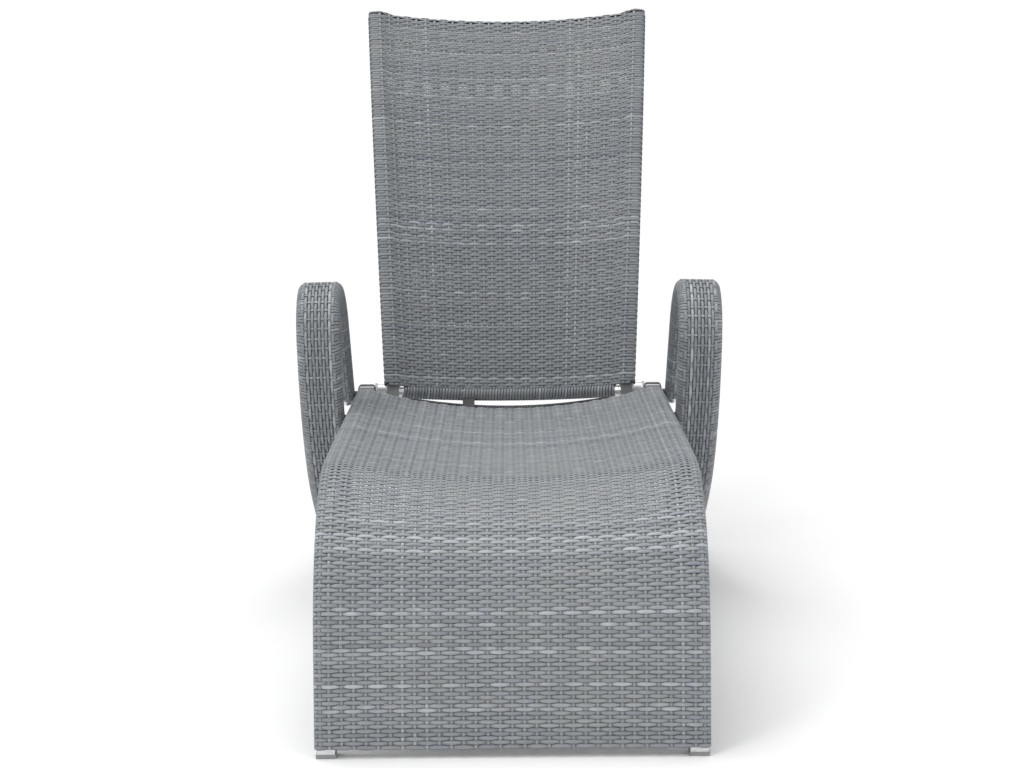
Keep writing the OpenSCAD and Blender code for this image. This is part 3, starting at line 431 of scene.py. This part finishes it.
def wound_bar(name, x, height, centre, high, half, bow, radius, body, stands_for, lowest=None):
    """Turns round a bowed round bar: its middle line drops by bow times one minus the square of
    x over half, along -high; a turn circles that line at the radius. Where lowest is set, each
    turn is an arc between that angle and its mirror image across the bar."""
    begin = np.full(len(x), -math.pi / 2) if lowest is None else lowest
    share = np.linspace(0, 1, 17)[None]
    angle = begin[:, None] + (math.pi - 2 * begin[:, None]) * share
    at = x[:, None] + TURN * share
    high = np.asarray(high, float)
    drop = height - bow * (1 - (at / half) ** 2)
    slope = 2 * bow * at / half ** 2
    along = np.stack([np.ones_like(at), slope * high[1], slope * high[2]], -1)
    along /= np.linalg.norm(along, axis=2, keepdims=True)
    lift = high - along * (along @ high)[..., None]
    lift /= np.linalg.norm(lift, axis=2, keepdims=True)
    fore = np.cross(along, lift)
    out = fore * np.cos(angle)[..., None] + lift * np.sin(angle)[..., None]
    middle = np.asarray(centre, float) + np.stack([at, 0 * at, 0 * at], -1) + drop[..., None] * high
    return strands(name, middle + out * radius, out, COIL_HALF, COIL_THICK, tones(len(x)),
                   body, stands_for, wrap_strand_painted_shade)


REAR_TUBE_RUN, CROSS_DEPTH = 1331.8, 17.5
REAR_TUBE_RADIUS, BETWEEN_RAILS = 8.0, 250.5
y, z, heading = seat_line(np.array(REAR_TUBE_RUN))
seat_up = (0.0, -math.sin(float(heading)), math.cos(float(heading)))
wound_bar("rear_tube_turns", np.arange(-240.0, 236.0, TURN), -CROSS_DEPTH, (0, float(y), float(z)),
          seat_up, BETWEEN_RAILS, SEAT_SAG + 3, REAR_TUBE_RADIUS + COIL_LIFT, "frame", ("rear_tube_wrap",))


# ---- Wound hinge tube ----
# Between the hinge tabs a bowed tube is wound with the same strand, tight, its grey darkened as painted
# shade.
HINGE_Y, HINGE_Z = 1176.0, 302.0
HINGE_BOW, BETWEEN_TABS, BACK_BAR_RADIUS = 28.0, 245.5, 9.5
BETWEEN_LUGS = np.arange(-199.0, 195.0, TURN)
wound_bar("hinge_tube_turns", BETWEEN_LUGS, 0.0, (0, HINGE_Y, HINGE_Z), (0, 0, 1), BETWEEN_TABS,
          HINGE_BOW, BACK_BAR_RADIUS + COIL_LIFT, "frame", ("hinge_tube_wrap",))


# ---- Woven arms ----
# Each arm is one flat band that loops from the rear foot, up the front and back down to the
# hinge. Strands run along both faces over and under hoops, and its edges are bound crosswise.
ARM_WIDE, ARM_THICK, ARM_ROUND = 74.0, 30.0, 11.0
ARM_START, ARM_HEADING = (1215.0, 15.0), math.radians(163)
ARM_BENDS = ((850.0, 22), (385.0, 51), (93.5, 90), (174.0, 61))
ARM_LAST = 177.63               # mm of straight down to the rail
ARM_IN, ARM_HANG, ARM_LEAN = 285.0, 303.0, math.radians(1.3)
ARM_TAPER = 46.0                # mm that the outboard edge stops short at the rail
ARM_CLEAR = 3.0                 # mm from a strand's end to the end of the band
ARM_COUNT = 10                  # strands on each face
BIND_ROUND = 13.0               # mm, the bound edge's rounding
BIND_AT = 24.0                  # mm from the middle of the band to where that rounding starts
BIND_RUN = 10.0                 # mm that a bound turn travels along the edge on its way round
HOOP_INSET = 2.2                # mm that a hoop is smaller than the band, each way
ARM_STRAND, HOOP = 5.8, 17.0    # mm from strand to strand and from hoop to hoop
ARM_RUN = sum(r * math.radians(b) for r, b in ARM_BENDS) + ARM_LAST
arm_strand = rattan_material("arm_strand", (0.275, 0.289, 0.302), 0.22)
hoop_strand = rattan_material("hoop_strand", (0.33, 0.345, 0.358), 0.15)


def arm_line(s):
    """The arm's outer line at a run s: arcs of radius times turn one after the other, each
    bending forwards and down, then straight. Returns place (y, z) and heading."""
    y, z, turn, left = ARM_START[0], ARM_START[1], ARM_HEADING, np.asarray(s, float)
    for radius, bend in ARM_BENDS:
        arc = np.clip(left / radius, 0, math.radians(bend))
        y = y + radius * (np.sin(turn) - np.sin(turn - arc))
        z = z + radius * (np.cos(turn - arc) - np.cos(turn))
        turn, left = turn - arc, left - radius * math.radians(bend)
    left = np.clip(left, 0, None)
    return y + left * np.cos(turn), z + left * np.sin(turn), turn


def arm_end(x):
    """The run at which the band stops at side x from its middle: a straight slant at the rail."""
    return ARM_RUN - ARM_CLEAR - ARM_TAPER * (x + ARM_WIDE / 2) / ARM_WIDE


def on_arm(hand, x, s, depth, out_x, out_up):
    """Points on one arm at side x from its middle, run s and depth under its outer face, with a
    normal of out_x sideways and out_up outwards. The arm's plane leans out about the rail."""
    y, z, turn = arm_line(s)
    x, y, z, turn, depth, out_x, out_up = np.broadcast_arrays(x, y, z, turn, depth, out_x, out_up)
    spot = np.stack([ARM_WIDE / 2 + x, y + np.sin(turn) * depth,
                     z - np.cos(turn) * depth - ARM_HANG], -1)
    normal = np.stack([out_x, -np.sin(turn) * out_up, np.cos(turn) * out_up], -1)
    c, t = math.cos(ARM_LEAN), math.sin(ARM_LEAN)
    lean = np.array([[c, 0, -t], [0, 1, 0], [t, 0, c]])
    spot = spot @ lean + np.array([ARM_IN, 0, ARM_HANG])
    mirror = np.array([hand, 1, 1])
    return spot * mirror, normal @ lean * mirror


columns = ARM_STRAND * (np.arange(ARM_COUNT) - (ARM_COUNT - 1) / 2)[:, None]
for side, hand in (("left", -1), ("right", 1)):
    for face, (level, out) in (("outer", (0.0, 1)), ("inner", (ARM_THICK, -1))):
        s = ARM_CLEAR + np.linspace(0, 1, 290)[None] * (arm_end(columns) - ARM_CLEAR)
        rise = 1.25 * wave(math.pi * (s / HOOP + np.arange(ARM_COUNT)[:, None]))
        place_xyz, up = on_arm(hand, columns + rng.normal(0, 0.15, (ARM_COUNT, 1)), s,
                               level + out * (1.2 - rise), 0.0, out)
        strands(f"{side}_arm_{face}_strands", place_xyz, up, 2.85, 2.0, tones(ARM_COUNT), "frame",
                (f"{side}_arm_weave",) if face == "outer" else (), arm_strand)
    # The hoops go once round the band, with the points of their top side on the strands.
    shape, away = outline(ARM_WIDE - HOOP_INSET, ARM_THICK - HOOP_INSET, ARM_ROUND - 1)
    flat = np.linspace(columns[-1, 0], columns[0, 0], 2 * ARM_COUNT - 1)
    face_x = np.concatenate([shape[:11, 0], flat, shape[11:, 0]])
    face_y = np.concatenate([shape[:11, 1], np.full(len(flat), (ARM_THICK - HOOP_INSET) / 2), shape[11:, 1]])
    out_a = np.concatenate([away[:11, 0], np.zeros(len(flat)), away[11:, 0]])
    out_b = np.concatenate([away[:11, 1], np.ones(len(flat)), away[11:, 1]])
    on_face = np.concatenate([np.zeros(11), np.ones(len(flat)), np.zeros(len(shape) - 11)])
    hoop_at = np.arange(HOOP, ARM_RUN - ARM_TAPER, HOOP)[:, None]
    crossed = (face_x / ARM_STRAND + (ARM_COUNT - 1) / 2)[None] + np.arange(1, len(hoop_at) + 1)[:, None]
    dip = 0.7 * np.cos(math.pi * crossed)
    place_xyz, up = on_arm(hand, face_x, hoop_at + rng.normal(0, 0.4, hoop_at.shape),
                           ARM_THICK / 2 - face_y + dip * on_face, out_a, out_b)
    strands(f"{side}_arm_hoops", place_xyz, up, 2.3, 1.3, tones(len(hoop_at)), "frame", (), hoop_strand)
    # The bound edges: turns that lie over the outermost strands of both faces.
    bend = np.linspace(math.pi / 2, 0, 5)
    over = BIND_AT + BIND_ROUND * np.cos(bend)
    under = BIND_ROUND * np.sin(bend)
    edge_a = np.concatenate([[BIND_AT - 1.4], over, over[::-1], [BIND_AT - 1.4]])
    edge_b = np.concatenate([[1.2], BIND_ROUND - under, ARM_THICK - BIND_ROUND + under[::-1],
                             [ARM_THICK - 1.2]])
    edge_p = np.concatenate([[0], np.cos(bend), np.cos(bend[::-1]), [0]])
    edge_q = np.concatenate([[1], np.sin(bend), -np.sin(bend[::-1]), [-1]])
    for rim, way in (("inboard", -1), ("outboard", 1)):
        last = ARM_RUN - 12 - (ARM_TAPER if way > 0 else 0)
        bound = np.arange(-9.6, last, ARM_STRAND)
        s = np.maximum(bound[:, None] + BIND_RUN * np.linspace(0, 1, len(edge_a))[None], 0.5)
        place_xyz, up = on_arm(hand, way * edge_a, s, edge_b + 0.1, way * edge_p, edge_q)
        strands(f"{side}_arm_{rim}_binding", place_xyz, up, 2.7, 1.4, tones(len(bound)), "frame", (),
                arm_strand)
    # Short strands fold over both ends of the band and close them.
    across = np.linspace(-30.5, 30.5, 12)[:, None]
    end_b = np.array([1.2, 1.4, 5, 11, 19, 25, ARM_THICK - 1.4, ARM_THICK - 1.2])
    end_q = np.array([1, 0.9, 0.5, 0.1, -0.1, -0.5, -0.9, -1.0])
    for end, way, stop in (("foot", -1, np.ones_like(across)), ("hinge", 1, arm_end(across))):
        s = stop + way * np.array([-7.0, -2, 0.2, 0.8, 0.8, 0.2, -2, -7])
        place_xyz, up = on_arm(hand, across, s, end_b, 0.0, end_q)
        turn = arm_line(s)[2]
        ahead = np.stack([0 * turn, np.cos(turn), np.sin(turn)], -1) * way
        up = up + ahead * (1 - np.abs(end_q))[None, :, None]
        strands(f"{side}_arm_{end}_closing", place_xyz, up, 2.9, 1.6, tones(len(across)), "frame", (),
                arm_strand)


# ---- Woven backrest ----
# The rows run from behind one side tube round its outside, across the hollow panel and round
# the other, looping two by two, and roll over the top tube. Stakes fan out towards the top.
BACK_RADIUS, BACK_TURN = 832.0 / math.radians(19), math.radians(65)
PIVOT_Y, PIVOT_Z = 1150.0, 322.0
BACK_SPREAD = math.tan(math.radians(3.165))
BACK_ROW = 5.7
ROW_HALF, ROW_THICK = 3.3, 2.7  # mm, half of a row's width and its thickness
BACK_START = 13.0               # mm up the back to the first row that loops round the sides
TOP_RUN = 819.5                 # mm up the back to the middle of its top tube
BACK_FACE = 14.2                # mm from the side tube's middle to the strands over it
BACK_LEVEL = 6.0                # mm from the side tubes' middle to the panel between them
BACK_HALF = 217.0               # mm from the middle plane to a side tube at the pivot
TOP_RADIUS = 11.5               # mm from the top tube's middle to the strands over it
HOLLOW = 26.0
back_strand = rattan_material("back_strand", (0.236, 0.249, 0.262), 0.2)


def back_line(s):
    """The side tubes' middle line at a run s up from the pivot, an arc of the back's radius,
    with its heading and the tube's distance from the middle plane."""
    turn = BACK_TURN - s / BACK_RADIUS
    y = PIVOT_Y + BACK_RADIUS * (math.sin(BACK_TURN) - np.sin(turn))
    z = PIVOT_Z + BACK_RADIUS * (np.cos(turn) - math.cos(BACK_TURN))
    return y, z, turn, BACK_HALF + BACK_RADIUS * np.sin(s / BACK_RADIUS) * BACK_SPREAD


def on_back(x, s, depth, out_x, out_up, out_along=0.0):
    """Points at side x, run s and depth in front of the side tubes' middle, with a normal given
    sideways, forwards and along the back."""
    y, z, turn, _ = back_line(s)
    x, y, z, turn, depth, out_x, out_up, out_along = np.broadcast_arrays(
        x, y, z, turn, depth, out_x, out_up, out_along)
    spot = np.stack([x, y - np.sin(turn) * depth, z + np.cos(turn) * depth], -1)
    normal = np.stack([out_x, -np.sin(turn) * out_up + np.cos(turn) * out_along,
                       np.cos(turn) * out_up + np.sin(turn) * out_along], -1)
    return spot, normal


def panel_depth(x, s):
    """The woven face: level over a side tube, then a smooth step down to a hollow of one minus
    a square. Returns its depth and how much of it lies over the tube."""
    tube = back_line(s)[3]
    v = np.clip(np.abs(x) / (tube - 14), 0, 1)
    share = np.clip((np.abs(x) - tube + 34) / 30, 0, 1)
    share = share * share * (3 - 2 * share)
    return BACK_LEVEL - HOLLOW * (1 - v * v) + (BACK_FACE - BACK_LEVEL) * share, share


def back_skin(x, s, roll, lift):
    """The woven face, rolled round the top tube by an angle: the depth turns into a circle of
    the top tube's size, growing to the side tube's own size over it."""
    face, share = panel_depth(x, s)
    radius = TOP_RADIUS + (BACK_FACE - TOP_RADIUS) * share
    return on_back(x, s + (radius + lift) * np.sin(roll), face - radius + (radius + lift) * np.cos(roll),
                   0.0, np.cos(roll), np.sin(roll))


def back_pitch(s):
    """From stake to stake at a run s: a fourteenth of half the width inside the side tubes."""
    return (back_line(s)[3] - 7) / 14


# A row's way round a side tube, from behind it to its front: how far out and how far forward.
SIDE_ROUND = 5.2
SIDE_FLAT = BACK_FACE - SIDE_ROUND
bend = np.linspace(0, math.pi / 2, 4)
side_o = np.concatenate([[-13, -2], SIDE_FLAT + SIDE_ROUND * np.sin(bend), [BACK_FACE],
                         SIDE_FLAT + SIDE_ROUND * np.cos(bend)[:-1]])
side_d = np.concatenate([[-BACK_FACE, -BACK_FACE], -SIDE_FLAT - SIDE_ROUND * np.cos(bend), [0],
                         SIDE_FLAT + SIDE_ROUND * np.sin(bend)[:-1]])
side_p = np.concatenate([[0, 0], np.sin(bend), [1], np.cos(bend)[:-1]])
side_q = np.concatenate([[-1, -1], -np.cos(bend), [0], np.sin(bend)[:-1]])
share_x = np.linspace(-1, 1, 113)


def back_rows(name, s, roll, number, stands_for):
    """Rows at runs s, each rolled over the top by its angle, as one mesh. The loops at the side
    tubes stand out on every second row."""
    s, roll, number = s[:, None], roll[:, None], number[:, None]
    tube = back_line(s)[3]
    x = share_x[None] * (tube + 8 * np.cos(roll))
    lift = 1.1 * wave(math.pi * (x / back_pitch(s) + number)) * (np.abs(x) < tube - 2)
    wobble = 0.3 * np.sin(x / 53.0 + number * 1.3)
    front, front_up = back_skin(x, s + wobble, roll, lift)
    loop = np.where(number % 2 == 0, 0.8, -1.0) * np.clip(side_o / 9, 0, 1)
    near = side_o * np.cos(roll) + loop
    edge = [on_back(hand * (tube + near), s + BACK_FACE * np.sin(roll), side_d * np.cos(roll),
                    hand * side_p, side_q * np.cos(roll), np.sin(roll)) for hand in (-1, 1)]
    path = np.concatenate([edge[0][0], front, edge[1][0][:, ::-1]], 1)
    normal = np.concatenate([edge[0][1], front_up, edge[1][1][:, ::-1]], 1)
    strands(name, path, normal, ROW_HALF, ROW_THICK, tones(len(s)), "backrest", stands_for, back_strand)


rows = np.arange(BACK_START, TOP_RUN, BACK_ROW)
number = np.arange(len(rows))
half_way = len(rows) // 2
jitter = rng.normal(0, 0.2, len(rows))
back_rows("lower_back_rows", (rows + jitter)[:half_way], np.zeros(half_way), number[:half_way],
          ("back_weave", "left_back_wrap", "right_back_wrap"))
back_rows("upper_back_rows", (rows + jitter)[half_way:], np.zeros(len(rows) - half_way),
          number[half_way:], ())
# The next rows roll over the top tube: three still loop round the sides, four end at them.
rolled = np.array([0.45, 0.9, 1.35])
back_rows("top_back_rows", np.full(3, TOP_RUN), rolled, len(rows) + np.arange(3), ())
rolled = np.array([1.7, 2.1, 2.5, 2.9])[:, None]
x = share_x[None] * 270.0
crossed = x / back_pitch(TOP_RUN) + len(rows) + 3 + np.arange(4)[:, None]
path, normal = back_skin(x, TOP_RUN, rolled, wave(math.pi * crossed))
strands("rolled_back_rows", path, normal, ROW_HALF, ROW_THICK, tones(4), "backrest", (), back_strand)
# The first row of all lies between the lugs, so it stops at the side tubes.
x = share_x[None] * 224.0
path, normal = back_skin(x, BACK_START - BACK_ROW, 0.0, wave(math.pi * (x / back_pitch(BACK_START) + 1)))
strands("first_back_row", path, normal, ROW_HALF, ROW_THICK, tones(1), "backrest", (), back_strand)

# The stakes spread with the side tubes and go over the top with the rows.
stake_number = np.arange(-14, 15)[:, None]
s = np.arange(BACK_START - 8.0, TOP_RUN, BACK_ROW / 2)
TOP_POINTS = 14                 # points of a stake over the top
roll = np.concatenate([np.zeros(len(s)), np.linspace(0.1, 2.9, TOP_POINTS)])[None]
crossed = np.concatenate([(s - BACK_START) / BACK_ROW,
                          len(rows) - 1 + np.linspace(0.3, 6.2, TOP_POINTS)])[None]
s = np.concatenate([s, np.full(TOP_POINTS, TOP_RUN)])[None]
path, normal = back_skin(stake_number * back_pitch(s), s, roll,
                         -1.0 * np.cos(math.pi * (crossed + stake_number)))
strands("back_stakes", path, normal, 2.8, 1.8, tones(len(path)) * 0.7 + 0.3, "backrest", (), stake_strand)


# ---- Wound bar at the foot of the backrest ----
# The bowed bottom tube is wound from lug to lug. Where the strut lever is welded on underneath,
# the strand only goes over the top and its ends are glued at the lever.
BOTTOM_RUN, LEVER_X, LEVER_HALF = -4.0, -77.0, 11.0
BOTTOM_HALF = 206.0             # mm from the middle to the ends of the bow
y, z, heading, _ = back_line(np.array(BOTTOM_RUN))
back_up = (0.0, -math.sin(float(heading)), math.cos(float(heading)))
at_lever = np.abs(BETWEEN_LUGS + TURN / 2 - LEVER_X) < LEVER_HALF
wound_bar("back_bottom_turns", BETWEEN_LUGS, 0.0, (0, float(y), float(z)), back_up, BOTTOM_HALF, HOLLOW,
          BACK_BAR_RADIUS + COIL_LIFT, "backrest", ("back_bottom_wrap",),
          np.where(at_lever, -0.25, -math.pi / 2))


# ---- Metal and plastic parts ----
# The tubes are drawn aluminium left bare, the strut parts are powder coated or zinc plated,
# and the feet, plugs and grip are moulded. All show light wear and dust from use outdoors.
worn, w_in, w_out = group(
    "worn_surface",
    [("Base", "NodeSocketColor", (0.5, 0.5, 0.5, 1)), ("Stretch", "NodeSocketVector", (1, 1, 1)),
     ("Grain", "NodeSocketFloat", 200.0), ("Rough", "NodeSocketFloat", 0.4),
     ("Mottle", "NodeSocketFloat", 0.3), ("Dirt", "NodeSocketFloat", 0.2)],
    [("Color", "NodeSocketColor"), ("Roughness", "NodeSocketFloat"), ("Height", "NodeSocketFloat")])
place = add(worn, "TexCoord").outputs["Object"]
drawn = add(worn, "VectorMath", {0: place, 1: w_in.outputs["Stretch"]}, operation="MULTIPLY").outputs[0]
line_noise = add(worn, "TexNoise", {"Vector": drawn, "Scale": w_in.outputs["Grain"], "Detail": 3.0,
                                    "Roughness": 0.6}).outputs["Fac"]
patch = add(worn, "TexNoise", {"Vector": place, "Scale": 22.0, "Detail": 5.0,
                               "Distortion": 0.6}).outputs["Fac"]
soil = add(worn, "TexNoise", {"Vector": place, "Scale": 7.0, "Detail": 6.0,
                              "Roughness": 0.7}).outputs["Fac"]
colour = mixed(worn, "MULTIPLY", w_in.outputs["Mottle"], w_in.outputs["Base"],
               ramp(worn, patch, (0.35, 0.62), (0.5, 1.0), (0.65, 1.35)))
colour = mixed(worn, "MULTIPLY", 1.0, colour, ramp(worn, line_noise, (0.3, 0.86), (0.7, 1.12)))
dirt = math_node(worn, "MULTIPLY", ramp(worn, soil, (0.5, 0.0), (0.72, 1.0)), w_in.outputs["Dirt"])
worn.links.new(mixed(worn, "MIX", dirt, colour, (0.30, 0.29, 0.27, 1)), w_out.inputs["Color"])
rough = math_node(worn, "ADD", w_in.outputs["Rough"], math_node(
    worn, "MULTIPLY", math_node(worn, "SUBTRACT", line_noise, 0.5), 0.35))
worn.links.new(math_node(worn, "ADD", rough, math_node(worn, "MULTIPLY", dirt, 0.4)),
               w_out.inputs["Roughness"])
worn.links.new(line_noise, w_out.inputs["Height"])


def finish(name, node_names, base, metallic, rough, grain, stretch, mottle, dirt, bump, cells=None):
    """A worn surface over CAD nodes. cells adds a second, cellular pattern of that scale to the
    colour and the bump: zinc's spangle, a moulded texture or the orange peel of a coating."""
    made = bpy.data.materials.new(name)
    made.use_nodes = True
    tree = made.node_tree
    shader = tree.nodes["Principled BSDF"]
    skin = tree.nodes.new("ShaderNodeGroup")
    skin.node_tree = worn
    for label, value in (("Base", (*base, 1)), ("Stretch", stretch), ("Grain", grain), ("Rough", rough),
                         ("Mottle", mottle), ("Dirt", dirt)):
        skin.inputs[label].default_value = value
    colour, height = skin.outputs["Color"], skin.outputs["Height"]
    if cells:
        pattern = add(tree, "TexVoronoi", {"Vector": add(tree, "TexCoord").outputs["Object"],
                                           "Scale": cells})
        shade = add(tree, "SeparateColor", {0: pattern.outputs["Color"]}).outputs[0]
        colour = mixed(tree, "MULTIPLY", 1.0, colour, ramp(tree, shade, (0.0, 0.86), (1.0, 1.12)))
        height = math_node(tree, "ADD", height, pattern.outputs["Distance"])
    tree.links.new(colour, shader.inputs["Base Color"])
    tree.links.new(skin.outputs["Roughness"], shader.inputs["Roughness"])
    tree.links.new(add(tree, "Bump", {"Height": height, "Strength": bump,
                                      "Distance": 0.0003}).outputs["Normal"], shader.inputs["Normal"])
    shader.inputs["Metallic"].default_value = metallic
    for node in node_names:
        slots = nodes[node].data.materials
        slots.clear()
        slots.append(made)


aluminium_nodes = (
    "left_rail", "right_rail", "foot_cross_tube", "knee_cross_tube", "mid_cross_tube",
    "seat_rear_tube", "hinge_tabs", "hinge_bosses", "hinge_tube", "left_arm_tubes",
    "right_arm_tubes", "left_arm_ribs", "right_arm_ribs", "leg_stretcher", "left_back_tube",
    "right_back_tube", "back_top_tube", "back_upper_tube", "back_lower_tube",
    "back_bottom_tube")
finish("drawn_aluminium", aluminium_nodes, (0.72, 0.73, 0.74), 1.0, 0.34, 260.0, (1, 0.06, 1),
       0.35, 0.15, 0.25)
finish("grey_plastic", ("front_foot_caps", "rail_end_plugs", "rear_foot_pads"), (0.30, 0.31, 0.32),
       0.0, 0.55, 500.0, (1, 1, 1), 0.3, 0.35, 0.5, cells=1500.0)
finish("zinc_plate", ("pivot_bolts", "arm_bolts", "strut_pin", "lever_pin", "valve_pin", "release_shaft",
                      "release_finger"),
       (0.56, 0.57, 0.56), 0.9, 0.36, 300.0, (1, 1, 1), 0.4, 0.25, 0.2, cells=420.0)
finish("white_nylon", ("pivot_washers", "pivot_bushes"), (0.80, 0.79, 0.74), 0.0, 0.4, 700.0,
       (1, 0.2, 0.2), 0.15, 0.2, 0.2)
finish("grey_powder_coat", ("back_lugs",), (0.16, 0.165, 0.17), 0.0, 0.45, 900.0, (1, 1, 1), 0.4, 0.3,
       0.4, cells=1100.0)
finish("black_powder_coat", ("strut_bracket", "strut_lever", "release_clip", "strut_cylinder",
                             "cylinder_eye", "rod_head", "cylinder_gland", "strut_piston"),
       (0.030, 0.031, 0.034), 0.0, 0.42, 900.0, (1, 1, 1), 0.5, 0.3, 0.4, cells=1100.0)
finish("black_plastic", ("arm_spacers", "release_grip"), (0.035, 0.035, 0.037), 0.0, 0.5, 600.0,
       (1, 1, 1), 0.3, 0.3, 0.4, cells=1700.0)
finish("ground_chrome", ("strut_rod",), (0.78, 0.79, 0.80), 1.0, 0.12, 800.0, (0.4, 3, 0.4), 0.12,
       0.05, 0.08)
